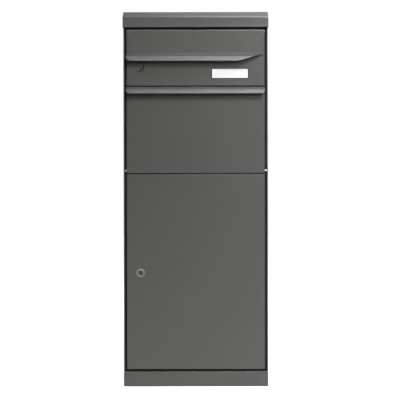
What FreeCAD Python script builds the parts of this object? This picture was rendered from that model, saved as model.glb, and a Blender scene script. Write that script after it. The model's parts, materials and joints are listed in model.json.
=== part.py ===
import FreeCAD, Part
import math
import os

# Free-standing steel letter and parcel box, millimetres.
# X to the right, front faces -Y, Z up, origin at the middle of the footprint.

# ---- driving dimensions -------------------------------------------------
H = 1030.0            # overall height
XR = 200.0            # roof half width
XB = 198.5            # carcass half width
T = 1.5               # carcass and door sheet
TF = 1.2              # flap and hopper sheet
YB = 175.0            # back face
YH = -151.0           # front edge of the side panels
YD = -155.0           # front plane of the doors
YL = -175.0           # foremost edge of the two lips
YJ = -142.9           # front face of the jambs and rails
XD = 189.75           # door half width
XJ = 184.0            # inner edge of the jambs
PAN = 10.0            # depth of the folded door edges
Z_PL = 41.5           # top of the plinth
Z_FL = 44.0           # underside of the parcel floor
Z_P0, Z_P1 = 47.5, 584.0      # parcel door
Z_H0, Z_H1 = 587.3, 824.0     # hatch with its lip
Z_L0, Z_L1 = 828.0, 968.0     # letter door sheet
Z_SK = 914.3                  # top of the letter door's front sheet
Z_LF = 826.0                  # letter floor
Z_R0 = 988.0                  # lower edge of the roof
FLAP_Y, FLAP_Z, FLAP_R = -149.5, 977.3, 5.5   # flap rod and rolled edge
HIN_X, HIN_Y = 186.0, -150.0                  # door hinge axis
HAT_Y, HAT_Z = -148.4, 594.0                  # hatch pivot axis
PIN_R = 2.5           # hatch pivot pin
ROD_R = 2.0           # flap rod
HP_R = 1.6            # door hinge pin
CL = 0.05             # running clearance on radius
LOCK_X, LOCK_ZL, LOCK_ZP = -152.0, 877.0, 313.0
LOCK_R, PLUG_R = 9.5, 6.5
NP_X0, NP_X1, NP_Z0, NP_Z1 = 45.5, 145.3, 848.4, 873.6
ANCH_X, ANCH_Y0, ANCH_Y1, ANCH_R = 150.0, -110.0, 130.0, 5.5
WALL_X, WALL_Z0, WALL_Z1, WALL_R = 140.0, 180.0, 900.0, 4.25
LETTER_TABS = (845.0, 890.0)
PARCEL_TABS = (110.0, 520.0)

os.makedirs("parts", exist_ok=True)
V = FreeCAD.Vector


def box(x0, x1, y0, y1, z0, z1):
    return Part.makeBox(x1 - x0, y1 - y0, z1 - z0, V(x0, y0, z0))


def cyl(r, p0, p1):
    a, b = V(*p0), V(*p1)
    d = b.sub(a)
    return Part.makeCylinder(r, d.Length, a, d)


def fuse(shapes):
    s = shapes[0]
    for o in shapes[1:]:
        s = s.fuse(o)
    return s.removeSplitter()


def prism_x(pts, x0, x1):
    # pts are (y, z), extruded along X
    w = Part.makePolygon([V(x0, y, z) for y, z in pts] + [V(x0, pts[0][0], pts[0][1])])
    return Part.Face(w).extrude(V(x1 - x0, 0, 0))


def prism_y(pts, y0, y1):
    # pts are (x, z), extruded along Y
    w = Part.makePolygon([V(x, y0, z) for x, z in pts] + [V(pts[0][0], y0, pts[0][1])])
    return Part.Face(w).extrude(V(0, y1 - y0, 0))


def prism_z(pts, z0, z1):
    w = Part.makePolygon([V(x, y, z0) for x, y in pts] + [V(pts[0][0], pts[0][1], z0)])
    return Part.Face(w).extrude(V(0, 0, z1 - z0))


def strip_x(path, t, x0, x1):
    # bent sheet: path is (y, z, r) along the mid surface, r the bend radius
    # of the mid surface at that corner; real arcs on both skins
    n = len(path)
    sides = {}
    for s in (+1, -1):
        edges = []
        prev = None
        for i in range(n):
            y, z = path[i][0], path[i][1]
            if i == 0 or i == n - 1:
                j = 0 if i == 0 else n - 2
                dy, dz = path[j + 1][0] - path[j][0], path[j + 1][1] - path[j][1]
                L = math.hypot(dy, dz)
                ny, nz = -dz / L, dy / L
                p = (y + s * ny * t / 2, z + s * nz * t / 2)
                if prev is not None:
                    edges.append(("l", prev, p))
                prev = p
                continue
            r = path[i][2]
            d1 = (y - path[i - 1][0], z - path[i - 1][1])
            d2 = (path[i + 1][0] - y, path[i + 1][1] - z)
            L1, L2 = math.hypot(*d1), math.hypot(*d2)
            u1, u2 = (d1[0] / L1, d1[1] / L1), (d2[0] / L2, d2[1] / L2)
            cross = u1[0] * u2[1] - u1[1] * u2[0]
            dot = u1[0] * u2[0] + u1[1] * u2[1]
            ang = math.atan2(cross, dot)
            sg = 1 if ang > 0 else -1
            tl = r * math.tan(abs(ang) / 2)
            a = (y - u1[0] * tl, z - u1[1] * tl)
            n1 = (-u1[1], u1[0])
            c = (a[0] + sg * n1[0] * r, a[1] + sg * n1[1] * r)
            rr = r - sg * s * t / 2
            def at(f):
                th = f * ang
                v = (a[0] - c[0], a[1] - c[1])
                k = rr / r
                return (c[0] + k * (v[0] * math.cos(th) - v[1] * math.sin(th)),
                        c[1] + k * (v[0] * math.sin(th) + v[1] * math.cos(th)))
            p0, pm, p1 = at(0), at(0.5), at(1)
            edges.append(("l", prev, p0))
            edges.append(("a", p0, pm, p1))
            prev = p1
        sides[s] = edges
    def mk(p):
        return V(x0, p[0], p[1])
    es = []
    for e in sides[1]:
        if e[0] == "l":
            es.append(Part.LineSegment(mk(e[1]), mk(e[2])).toShape())
        else:
            es.append(Part.Arc(mk(e[1]), mk(e[2]), mk(e[3])).toShape())
    es.append(Part.LineSegment(mk(sides[1][-1][-1]), mk(sides[-1][-1][-1])).toShape())
    for e in reversed(sides[-1]):
        if e[0] == "l":
            es.append(Part.LineSegment(mk(e[2]), mk(e[1])).toShape())
        else:
            es.append(Part.Arc(mk(e[3]), mk(e[2]), mk(e[1])).toShape())
    es.append(Part.LineSegment(mk(sides[-1][0][1]), mk(sides[1][0][1])).toShape())
    return Part.Face(Part.Wire(es)).extrude(V(x1 - x0, 0, 0))


def pan(x0, x1, y0, y1, z0, z1, t, r):
    # folded tray open to the rear, its four front edges rounded
    o = box(x0, x1, y0, y1, z0, z1)
    e = [k for k in o.Edges if abs(k.BoundBox.YMin - y0) < 1e-6 and abs(k.BoundBox.YMax - y0) < 1e-6]
    o = o.makeFillet(r, e)
    return o.cut(box(x0 + t, x1 - t, y0 + t, y1 + 1, z0 + t, z1 - t))


def write(name, shape):
    if isinstance(shape, list):
        shape = Part.makeCompound(shape)
    assert shape.isValid(), name
    shape.exportStep("parts/" + name + ".step")
    b = shape.BoundBox
    print("%-24s solids %d vol %.0f  x %.1f..%.1f y %.1f..%.1f z %.1f..%.1f" % (
        name, len(shape.Solids), shape.Volume, b.XMin, b.XMax, b.YMin, b.YMax, b.ZMin, b.ZMax))


# ---- carcass -------------------------------------------------------------
def side_panel(s):
    # outer skin with a closed hem along its front edge
    skin = prism_z([(s * XB, YH + 1.2), (s * (XB - 1.2), YH), (s * (XB - 1.8), YH), (s * (XB - T), YH + 0.5),
                    (s * (XB - T), YB), (s * XB, YB)], 0.0, 1012.0)
    hem = prism_z([(s * (XB - T), YH), (s * (XB - 2 * T + 1.0), YH), (s * (XB - 2 * T), YH + 1.0),
                   (s * (XB - 2 * T), YJ), (s * (XB - T), YJ)], Z_PL, 1012.0)
    for y in (-100.0, 120.0):
        skin = skin.cut(cyl(2.1, (s * (XB - 5), y, 1000.0), (s * (XB + 5), y, 1000.0)))
    return [skin, hem]


write("left_side_panel", side_panel(-1))
write("right_side_panel", side_panel(1))

back = box(-XB + T, XB - T, YB - T, YB, 0.0, 1021.3)
for x in (-WALL_X, WALL_X):
    for z in (WALL_Z0, WALL_Z1):
        back = back.cut(cyl(WALL_R, (x, YB - 5, z), (x, YB + 5, z)))
write("back_panel", back)

# roof cap: bent front with a sloping upper strip, skirts on the sides, open at the rear edge
def roof_solid(o):
    return [(-160.0 + o, Z_R0 - (5 if o else 0)), (-160.0 + o, 1016.5), (-149.5 + o * 0.6, H - o),
            (YB - (-1 if o else 0), H - 7.0 - o), (YB - (-1 if o else 0), Z_R0 - (5 if o else 0))]


outer = prism_x(roof_solid(0), -XR, XR)
ed = [k for k in outer.Edges if k.Length > 390 and abs(k.BoundBox.ZMax - 1016.5) < 0.01]
outer = outer.makeFillet(5.0, ed)
for s in (-1, 1):
    outer = outer.cut(prism_y([(s * XR, 1014.0), (s * (XR - 1.2), 1031.0), (s * (XR + 5), 1031.0), (s * (XR + 5), 1014.0)],
                              -170, 180))
roof = outer.cut(prism_x(roof_solid(T), -XR + T, XR - T))
for s in (-1, 1):
    for y in (-100.0, 120.0):
        roof = roof.cut(cyl(2.1, (s * (XR - 5), y, 1000.0), (s * (XR + 5), y, 1000.0)))
write("roof_cap", roof)
scr = []
for s in (-1, 1):
    for y in (-100.0, 120.0):
        scr.append(fuse([cyl(4.0, (s * (XB - T - 2.4), y, 1000.0), (s * (XB - T), y, 1000.0)),
                         cyl(2.1, (s * (XB - T), y, 1000.0), (s * (XR - 0.2), y, 1000.0))]))
write("roof_screws", scr)

# plinth strip across the front with short returns
pl = box(-XB, XB, YD, YH, 0.0, Z_PL)
pl = pl.makeFillet(1.5, [k for k in pl.Edges if abs(k.BoundBox.YMin - YD) < 1e-6 and abs(k.BoundBox.YMax - YD) < 1e-6 and
                         (k.BoundBox.ZMin > 1.0 or k.BoundBox.ZLength > 10)])
pl = pl.cut(box(-XB + T, XB - T, YD + T, YH + 1, T, Z_PL - T))
pl = fuse([pl, box(-XB + T, XB - T, YH, YJ, Z_PL - T, Z_PL)])
write("plinth_front", pl)

base = box(-XB + T, XB - T, YJ, YB - T, 0.0, 3.0)
floor = box(-XB + T, XB - T, YJ + T, YB - T, Z_FL, Z_FL + T)
floor_lip = box(-XB + T, XB - T, YJ, YJ + T, Z_PL, Z_FL + T)
plugs = []
for x in (-ANCH_X, ANCH_X):
    for y in (ANCH_Y0, ANCH_Y1):
        base = base.cut(cyl(ANCH_R, (x, y, -1), (x, y, 5)))
        floor = floor.cut(cyl(13.0, (x, y, Z_FL - 5), (x, y, Z_FL + 5)))
        plugs.append(fuse([cyl(16.0, (x, y, Z_FL + T), (x, y, Z_FL + T + 1.6)), cyl(12.9, (x, y, Z_FL - 2), (x, y, Z_FL + T))]))
write("base_plate", base)
write("parcel_floor", [floor, floor_lip])
write("anchor_hole_plugs", plugs)

# jambs: a flange behind the gap and a leg along the side panel, seam-welded;
# the leg stops above and below the letter floor
def jamb(s):
    xs = sorted((s * (XB - T), s * (XB - 2 * T)))
    a = box(min(s * XJ, s * (XB - T)), max(s * XJ, s * (XB - T)), YJ, YJ + T, Z_FL + T, 1012.0)
    return [a, box(xs[0], xs[1], YJ + T, YJ + 24, Z_FL + T, Z_LF), box(xs[0], xs[1], YJ + T, YJ + 24, Z_LF + T, 1012.0)]


write("left_jamb", jamb(-1))
# the right one has a hinge return
write("right_jamb", jamb(1) + [box(XJ - T, XJ, YJ, YJ + 12.0, Z_FL + T, Z_LF), box(XJ - T, XJ, YJ, YJ + 12.0, Z_LF + T, 1012.0)])

write("letter_floor", box(-XB + T, XB - T, YJ + T, YB - T, Z_LF, Z_LF + T))
write("mid_rail", box(-XJ, XJ - T, YJ, YJ + T, 819.0, 833.0))
tr = fuse([box(-XJ, XJ - T, YJ, YJ + T, 973.0, 1012.0), box(-XJ, XJ - T, YJ + T, YJ + 14.0, 1010.5, 1012.0)])
write("top_rail", tr)
lr = fuse([box(-XJ, XJ - T, YJ, YJ + T, 556.0, 577.0), box(-XJ, XJ - T, YJ + T, YJ + 10.0, 556.0, 556.0 + T)])
write("lower_rail", lr)

# hatch pivot pins, stud-welded to the hems
write("hatch_pivot_pins", [cyl(PIN_R, (s * 187.2, HAT_Y, HAT_Z), (s * (XB - 2 * T), HAT_Y, HAT_Z)) for s in (-1, 1)])

# hinge brackets on the right jamb: a leaf and a tab with the pin hole
def bracket(zc):
    leaf = box(180.5, XJ - T, YJ + T, YJ + 12.0, zc - 12.0, zc + 12.0)
    tab = fuse([box(180.5, HIN_X, HIN_Y - 3.0, HIN_Y, zc - 1.5, zc + 1.5),
                box(180.5, HIN_X + 1.8, HIN_Y, YJ - 0.3, zc - 1.5, zc + 1.5),
                box(180.5, XJ - T, YJ - 0.4, YJ + 6.0, zc - 1.5, zc + 1.5),
                cyl(3.0, (HIN_X, HIN_Y, zc - 1.5), (HIN_X, HIN_Y, zc + 1.5))])
    b = fuse([leaf, tab])
    return b.cut(cyl(HP_R + CL, (HIN_X, HIN_Y, zc - 5), (HIN_X, HIN_Y, zc + 5)))


write("letter_hinge_brackets", [bracket(z) for z in LETTER_TABS])
write("parcel_hinge_brackets", [bracket(z) for z in PARCEL_TABS])

# strike plates behind the left jamb where the lock cams bear
write("strike_plates", [box(-XB + 2 * T, -XJ - 1.0, YJ + T, YJ + 2 * T, z - 18, z + 18) for z in (LOCK_ZL, LOCK_ZP)])

bump = []
for z in (842.0, 955.0, 100.0, 540.0, 640.0, 790.0):
    bump.append(cyl(3.6, (-188.6, YJ - 1.8, z), (-188.6, YJ, z)))
for z in (640.0, 790.0):
    bump.append(cyl(3.6, (188.6, YJ - 1.8, z), (188.6, YJ, z)))
write("door_bumpers", bump)


# ---- shared lock and hinge hardware -----------------------------------------
def lock(prefix, z, slot_deg):
    x = LOCK_X
    body = fuse([cyl(12.0, (x, YD - 2.2, z), (x, YD, z)), cyl(LOCK_R, (x, YD, z), (x, -139.6, z))])
    e = [k for k in body.Edges if abs(k.BoundBox.YMin - (YD - 2.2)) < 1e-6 and abs(k.BoundBox.YMax - (YD - 2.2)) < 1e-6]
    body = body.makeFillet(0.8, e)
    body = body.cut(cyl(PLUG_R + CL, (x, YD - 5, z), (x, -130, z)))
    write(prefix + "_lock_body", body)
    hexa = prism_y([(x + 13.3 * math.cos(math.radians(60 * k)), z + 13.3 * math.sin(math.radians(60 * k))) for k in range(6)],
                   YD + T, YD + T + 4.5)
    write(prefix + "_lock_nut", hexa.cut(cyl(LOCK_R, (x, YD, z), (x, YD + 10, z))))
    plug = fuse([cyl(PLUG_R, (x, YD - 2.0, z), (x, -139.0, z)), box(x - 3.2, x + 3.2, -139.0, -136.2, z - 3.2, z + 3.2)])
    key = box(x - 0.8, x + 0.8, YD - 4, YD + 9, z - 4.6, z + 4.6)
    key.rotate(V(x, 0, z), V(0, 1, 0), slot_deg)
    write(prefix + "_lock_plug", plug.cut(key))
    cam = fuse([box(x - 7, x + 7, -139.0, -136.5, z - 33.0, z), cyl(7.0, (x, -139.0, z), (x, -136.5, z)),
                cyl(7.0, (x, -139.0, z - 33.0), (x, -136.5, z - 33.0))])
    cam = cam.cut(box(x - 3.2, x + 3.2, -140, -136, z - 3.2, z + 3.2))
    write(prefix + "_lock_cam", cam)
    write(prefix + "_cam_screw", cyl(4.8, (x, -136.2, z), (x, -133.4, z)))


def lugs(prefix, tabs):
    out, pins = [], []
    for zc in tabs:
        ears = [box(171.0, 188.2, YD + T, HIN_Y + 3.4, zc + 2.1, zc + 4.6), box(171.0, 188.2, YD + T, HIN_Y + 3.4, zc - 4.6, zc - 2.1),
                box(160.0, 178.0, YD + T, YD + 2 * T, zc - 10, zc + 10)]
        e = fuse(ears)
        e = e.cut(cyl(HP_R, (HIN_X, HIN_Y, zc - 10), (HIN_X, HIN_Y, zc + 10)))
        out.append(e)
        pins.append(fuse([cyl(HP_R, (HIN_X, HIN_Y, zc - 5.6), (HIN_X, HIN_Y, zc + 4.6)), cyl(2.1, (HIN_X, HIN_Y, zc + 4.6), (HIN_X, HIN_Y, zc + 5.8))]))
    write(prefix + "_hinge_lugs", out)
    write(prefix + "_hinge_pins", pins)


# ---- letter door ----------------------------------------------------------------
ld = pan(-XD, XD, YD, YD + PAN, Z_L0, Z_L1 + 20, T, 2.0)
ld = ld.cut(box(-200, 200, YD - 5, YD + 20, Z_L1, Z_L1 + 40))
ld = ld.cut(box(-185.0, 185.0, YD - 5, YD + T + 0.01, Z_SK, Z_L1 + 5))
ld = ld.cut(cyl(LOCK_R + 0.1, (LOCK_X, YD - 5, LOCK_ZL), (LOCK_X, YD + 5, LOCK_ZL)))
ld = ld.cut(box(NP_X0, NP_X1, YD - 5, YD + 5, NP_Z0, NP_Z1))
for z in LETTER_TABS:
    ld = ld.cut(box(XD - T - 0.3, XD + 1, YD + T, YD + PAN + 1, z - 2.6, z + 2.6))
write("letter_door_panel", ld)

# end brackets carry the flap rod and close the corners of the door
def end_bracket(s):
    x0, x1 = (185.0, XD) if s > 0 else (-XD, -185.0)
    b = fuse([box(x0, x1, YD, YD + PAN, Z_L1, FLAP_Z), cyl(FLAP_R, (x0, FLAP_Y, FLAP_Z), (x1, FLAP_Y, FLAP_Z))])
    if s > 0:
        b = b.cut(prism_y([(x1 - 3.6, 985), (x1 + 1, 985), (x1 + 1, 974.5), (x1, 974.5)], YD - 2, YD + 20))
    b = b.cut(box(x0 - 1, x1 + 1, YD + PAN, YD + 30, 900, 1000))
    return b.cut(cyl(ROD_R, (x0 - 1, FLAP_Y, FLAP_Z), (x1 + 1, FLAP_Y, FLAP_Z)))


write("flap_end_brackets", [end_bracket(-1), end_bracket(1)])
write("flap_rod", cyl(ROD_R, (-190.4, FLAP_Y, FLAP_Z), (190.4, FLAP_Y, FLAP_Z)))

sf = box(-188.2, 188.2, YD + 2.7, YD + 4.2, 905.0, Z_L1)
sf = sf.cut(box(-170.0, 170.0, YD, YD + 10, 921.0, 957.0))
sf = fuse([sf, box(-188.2, 188.2, YD + 4.2, YD + PAN, Z_L1 - T, Z_L1), box(-188.2, 188.2, YD + T, YD + 2.7, 905.0, 912.0)])
write("letter_slot_frame", sf)
baf = strip_x([(YD + 4.8, 964.5, 0), (YD + 4.8, 958.6, 1.5), (-124.0, 936.0, 3.0), (-121.0, 922.0, 0)], TF, -172.0, 172.0)
write("slot_baffle", baf)

# recessed name plate: tray, blank card and clear window
tray = box(NP_X0 - 5, NP_X1 + 5, YD + T, YD + 5.0, NP_Z0 - 5, NP_Z1 + 5)
tray = fuse([tray, box(NP_X0 + 0.2, NP_X1 - 0.2, YD + 0.7, YD + T, NP_Z0 + 0.2, NP_Z1 - 0.2)])
tray = tray.cut(box(NP_X0 + 5.5, NP_X1 - 5.5, YD - 1, YD + 2.6, NP_Z0 + 2.2, NP_Z1 - 2.2))
write("nameplate_holder", tray)
write("nameplate_card", box(NP_X0 + 5.5, NP_X1 - 5.5, YD + 2.2, YD + 2.6, NP_Z0 + 2.2, NP_Z1 - 2.2))
write("nameplate_window", box(NP_X0 + 5.5, NP_X1 - 5.5, YD + 1.2, YD + 2.2, NP_Z0 + 2.2, NP_Z1 - 2.2))
lock("letter", LOCK_ZL, 0.0)
lugs("letter", LETTER_TABS)

# ---- letter flap: rolled top edge, flat face, and a lip bent out and then down ----
yc = YD + TF / 2
LIP_Y = YL + 5.6         # where the lip turns down
fl = strip_x([(FLAP_Y + (FLAP_R - TF / 2) * math.cos(math.radians(58)), FLAP_Z + (FLAP_R - TF / 2) * math.sin(math.radians(58)), 0),
              (FLAP_Y - 1.3, FLAP_Z + 5.55, 4.2), (yc, FLAP_Z - 0.5, 3.0), (yc, 916.2, 2.0),
              (LIP_Y, 905.4, 2.4), (YL + 0.5, 892.8, 0)], TF, -184.6, 184.6)
fl = fl.cut(box(-300, 300, YL - 20, YL, 800, 1000))
# lip outline seen from the front: chamfer at the left, long diagonal at the right
fl = fl.cut(prism_y([(117.0, 892.0), (121.5, 894.2), (184.7, 913.6), (192, 913.6), (192, 880), (117.0, 880)], -190, YD - 0.6))
wing_l = strip_x([(yc - 2.2, 914.6, 0), (LIP_Y, 905.4, 2.4), (YL + 0.5, 892.8, 0)], TF, -190.4, -184.6)
wing_l = wing_l.cut(box(-300, 300, YL - 20, YL, 800, 1000))
wing_l = wing_l.cut(prism_y([(-191, 905.0), (-190.4, 905.0), (-184.6, 894.0), (-184.6, 890), (-191, 890)], -190, -150))
ears = []
for x0, x1 in ((-184.6, -182.6), (-1.0, 1.0), (182.6, 184.6)):
    ears.append(fuse([cyl(FLAP_R - TF + 0.2, (x0, FLAP_Y, FLAP_Z), (x1, FLAP_Y, FLAP_Z)),
                      prism_x([(yc, FLAP_Z - 8), (yc, FLAP_Z + 0.5), (FLAP_Y, FLAP_Z + 4.0), (FLAP_Y, FLAP_Z - 4.0)], x0, x1)]))
flap = fuse([fl, wing_l] + ears)
flap = flap.cut(cyl(ROD_R + CL, (-200, FLAP_Y, FLAP_Z), (200, FLAP_Y, FLAP_Z)))
write("letter_flap", flap)
write("flap_bumpers", [cyl(3.0, (x, YD + TF, 935.0), (x, YD + TF + 1.2, 935.0)) for x in (-178.0, 178.0)])

# ---- parcel hatch --------------------------------------------------------------------
hp = pan(-XD, XD, YD, YD + PAN, Z_H0, Z_H1 - 1.5, T, 2.0)
hp = hp.cut(box(-XD + T, XD - T, -147.9, -140, Z_H0 - 1, Z_H0 + T + 0.01))
# rear lower corners rounded about the pivot so that they swing clear of the jambs
hp = hp.cut(box(-200, 200, HAT_Y, -140, Z_H0 - 1, HAT_Z).cut(cyl(4.9, (-201, HAT_Y, HAT_Z), (201, HAT_Y, HAT_Z))))
for s in (-1, 1):
    hp = hp.cut(cyl(PIN_R + CL, (s * 186, HAT_Y, HAT_Z), (s * 192, HAT_Y, HAT_Z)))
write("hatch_panel", hp)

lip = strip_x([(YD + 7.0, Z_H1 - 0.75, 0), (YD - 1.0, Z_H1 - 0.75, 1.6), (LIP_Y, 814.8, 2.8), (YL + 0.7, 803.7, 0)], T, -190.4, 190.4)
lip = lip.cut(box(-300, 300, YL - 20, YL, 700, 900))
lip = lip.cut(prism_y([(-190.4, 814.6), (-191, 814.6), (-191, 800), (-184.6, 800), (-184.6, 803.8)], -190, YD - 0.5))
lip = lip.cut(prism_y([(190.4, 815.4), (191, 815.4), (191, 800), (182.0, 800), (182.0, 803.8)], -190, YD - 0.5))
lip = lip.cut(box(-300, -XD, YD - 0.4, -100, 800, 900)).cut(box(XD, 300, YD - 0.4, -100, 800, 900))
write("hatch_lip", lip)

R_CH = 221.0
def cheek(s):
    x0, x1 = (179.0, 180.5) if s > 0 else (-180.5, -179.0)
    pts = [(YD + T, HAT_Z + 10), (YD + T, HAT_Z + 219)]
    for k in range(0, 15):
        a = math.radians(90 - 50.0 * k / 14)
        pts.append((HAT_Y + R_CH * math.cos(a), HAT_Z + R_CH * math.sin(a)))
    pts.append((HAT_Y + 12 * math.cos(math.radians(10)), HAT_Z + 12 * math.sin(math.radians(10))))
    c = prism_x(pts, x0, x1)
    fx0, fx1 = (165.0, 179.0) if s > 0 else (-179.0, -165.0)
    return fuse([c, box(fx0, fx1, YD + T, YD + 2 * T, HAT_Z + 56, HAT_Z + 215)])


write("hatch_left_cheek", cheek(-1))
write("hatch_right_cheek", cheek(1))

L_HP = 296.0
q = math.sqrt(0.5)
hop = strip_x([(YD + T + TF / 2, HAT_Z + 52, 0), (YD + T + TF / 2, HAT_Z + (HAT_Y - YD - T - TF / 2) * 1.0 - 0.6, 3.0),
               (HAT_Y + L_HP * q, HAT_Z - L_HP * q, 2.0), (HAT_Y + L_HP * q + 9 * q, HAT_Z - L_HP * q + 9 * q, 0)], TF, -178.8, 178.8)
ribs = []
for s in (-1, 1):
    x0, x1 = (177.6, 178.8) if s > 0 else (-178.8, -177.6)
    a0, a1, hh = 40.0, L_HP - 4.0, 24.0
    ribs.append(prism_x([(HAT_Y + a0 * q, HAT_Z - a0 * q), (HAT_Y + a1 * q, HAT_Z - a1 * q),
                         (HAT_Y + a1 * q + hh * q, HAT_Z - a1 * q + hh * q), (HAT_Y + a0 * q + 6 * q, HAT_Z - a0 * q + 6 * q)], x0, x1))
hop = fuse([hop] + ribs)
write("hopper_plate", hop)

# ---- parcel door -----------------------------------------------------------------------
pd = pan(-XD, XD, YD, YD + PAN, Z_P0, Z_P1, T, 2.0)
pd = pd.cut(cyl(LOCK_R + 0.1, (LOCK_X, YD - 5, LOCK_ZP), (LOCK_X, YD + 5, LOCK_ZP)))
for z in PARCEL_TABS:
    pd = pd.cut(box(XD - T - 0.3, XD + 1, YD + T, YD + PAN + 1, z - 2.6, z + 2.6))
write("parcel_door_panel", pd)
hat = []
for x in (-60.0, 60.0):
    hat += [box(x - 28, x - 15, YD + T, YD + T + 1.2, 70, 545), box(x + 15, x + 28, YD + T, YD + T + 1.2, 70, 545),
            box(x - 15, x - 13.8, YD + T, YD + 11.8, 70, 545), box(x + 13.8, x + 15, YD + T, YD + 11.8, 70, 545),
            box(x - 15, x + 15, YD + 11.8, YD + 13.0, 70, 545)]
write("parcel_door_stiffeners", hat)
lock("parcel", LOCK_ZP, -40.0)
lugs("parcel", PARCEL_TABS)
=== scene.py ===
import bpy, bmesh, math, json
from mathutils import Vector, Matrix

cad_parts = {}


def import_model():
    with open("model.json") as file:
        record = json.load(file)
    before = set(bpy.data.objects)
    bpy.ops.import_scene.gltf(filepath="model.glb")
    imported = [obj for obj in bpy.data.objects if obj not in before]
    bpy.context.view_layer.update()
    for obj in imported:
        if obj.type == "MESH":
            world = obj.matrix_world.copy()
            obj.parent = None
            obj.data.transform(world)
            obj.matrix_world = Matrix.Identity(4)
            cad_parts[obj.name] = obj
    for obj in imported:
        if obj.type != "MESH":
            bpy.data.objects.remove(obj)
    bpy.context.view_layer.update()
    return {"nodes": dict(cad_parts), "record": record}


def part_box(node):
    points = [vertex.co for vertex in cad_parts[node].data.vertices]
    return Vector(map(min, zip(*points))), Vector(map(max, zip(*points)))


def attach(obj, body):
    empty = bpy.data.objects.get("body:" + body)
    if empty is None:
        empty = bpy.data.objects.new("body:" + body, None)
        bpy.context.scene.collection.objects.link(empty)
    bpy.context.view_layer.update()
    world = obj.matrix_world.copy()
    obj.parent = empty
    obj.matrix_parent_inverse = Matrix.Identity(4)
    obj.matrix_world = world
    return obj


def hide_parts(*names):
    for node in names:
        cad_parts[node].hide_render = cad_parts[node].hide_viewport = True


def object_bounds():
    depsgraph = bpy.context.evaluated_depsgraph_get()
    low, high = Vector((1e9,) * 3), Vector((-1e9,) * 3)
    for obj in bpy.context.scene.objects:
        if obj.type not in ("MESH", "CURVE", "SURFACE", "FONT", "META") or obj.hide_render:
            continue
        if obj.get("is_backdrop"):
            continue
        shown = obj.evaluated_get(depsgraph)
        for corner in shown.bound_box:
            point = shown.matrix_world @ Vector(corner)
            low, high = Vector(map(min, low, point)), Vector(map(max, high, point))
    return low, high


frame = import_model()
MM = 0.001
scene = bpy.context.scene
COL = scene.collection


def bx(node):
    lo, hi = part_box(node)
    return [v / MM for v in lo], [v / MM for v in hi]


# =============================================================== materials
def new_mat(name):
    m = bpy.data.materials.new(name)
    m.use_nodes = True
    nt = m.node_tree
    for n in list(nt.nodes):
        nt.nodes.remove(n)
    out = nt.nodes.new("ShaderNodeOutputMaterial")
    b = nt.nodes.new("ShaderNodeBsdfPrincipled")
    nt.links.new(b.outputs[0], out.inputs[0])
    tc = nt.nodes.new("ShaderNodeTexCoord")
    return m, nt, b, tc


def noise(nt, vec, scale, detail=2.0, rough=0.5, stretch=None):
    if stretch:
        mp = nt.nodes.new("ShaderNodeMapping")
        mp.inputs["Scale"].default_value = stretch
        nt.links.new(vec, mp.inputs["Vector"])
        vec = mp.outputs[0]
    n = nt.nodes.new("ShaderNodeTexNoise")
    n.inputs["Scale"].default_value = scale
    n.inputs["Detail"].default_value = detail
    n.inputs["Roughness"].default_value = rough
    nt.links.new(vec, n.inputs["Vector"])
    return n


def ramp(nt, fac, stops):
    r = nt.nodes.new("ShaderNodeValToRGB")
    e = r.color_ramp.elements
    e[0].position, e[0].color = stops[0][0], (*stops[0][1], 1)
    e[1].position, e[1].color = stops[-1][0], (*stops[-1][1], 1)
    for p, c in stops[1:-1]:
        k = e.new(p)
        k.color = (*c, 1)
    nt.links.new(fac, r.inputs[0])
    return r


def rng(nt, fac, a, b, lo=0.3, hi=0.7):
    r = nt.nodes.new("ShaderNodeMapRange")
    r.inputs["From Min"].default_value = lo
    r.inputs["From Max"].default_value = hi
    r.inputs["To Min"].default_value = a
    r.inputs["To Max"].default_value = b
    nt.links.new(fac, r.inputs["Value"])
    return r.outputs[0]


def mth(nt, op, a, b=None):
    m = nt.nodes.new("ShaderNodeMath")
    m.operation = op
    for i, v in enumerate((a, b)):
        if v is None:
            continue
        if isinstance(v, (int, float)):
            m.inputs[i].default_value = v
        else:
            nt.links.new(v, m.inputs[i])
    return m.outputs[0]


def mixc(nt, fac, a, b, mode="MIX"):
    m = nt.nodes.new("ShaderNodeMix")
    m.data_type = "RGBA"
    m.blend_type = mode
    if isinstance(fac, (int, float)):
        m.inputs[0].default_value = fac
    else:
        nt.links.new(fac, m.inputs[0])
    for i, v in ((6, a), (7, b)):
        if isinstance(v, tuple):
            m.inputs[i].default_value = (*v, 1)
        else:
            nt.links.new(v, m.inputs[i])
    return m.outputs[2]


def bump(nt, b, layers):
    prev = None
    for h, strength, dist in layers:
        n = nt.nodes.new("ShaderNodeBump")
        n.inputs["Strength"].default_value = strength
        n.inputs["Distance"].default_value = dist
        nt.links.new(h, n.inputs["Height"])
        if prev is not None:
            nt.links.new(prev, n.inputs["Normal"])
        prev = n.outputs[0]
    nt.links.new(prev, b.inputs["Normal"])


def edge_mask(nt, radius):
    # 1 near a convex or concave edge, from the difference between the true and the rounded normal
    geo = nt.nodes.new("ShaderNodeNewGeometry")
    bev = nt.nodes.new("ShaderNodeBevel")
    bev.samples = 4
    bev.inputs["Radius"].default_value = radius
    d = nt.nodes.new("ShaderNodeVectorMath")
    d.operation = "DOT_PRODUCT"
    nt.links.new(geo.outputs["Normal"], d.inputs[0])
    nt.links.new(bev.outputs[0], d.inputs[1])
    return mth(nt, "SUBTRACT", 1.0, d.outputs["Value"])


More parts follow.
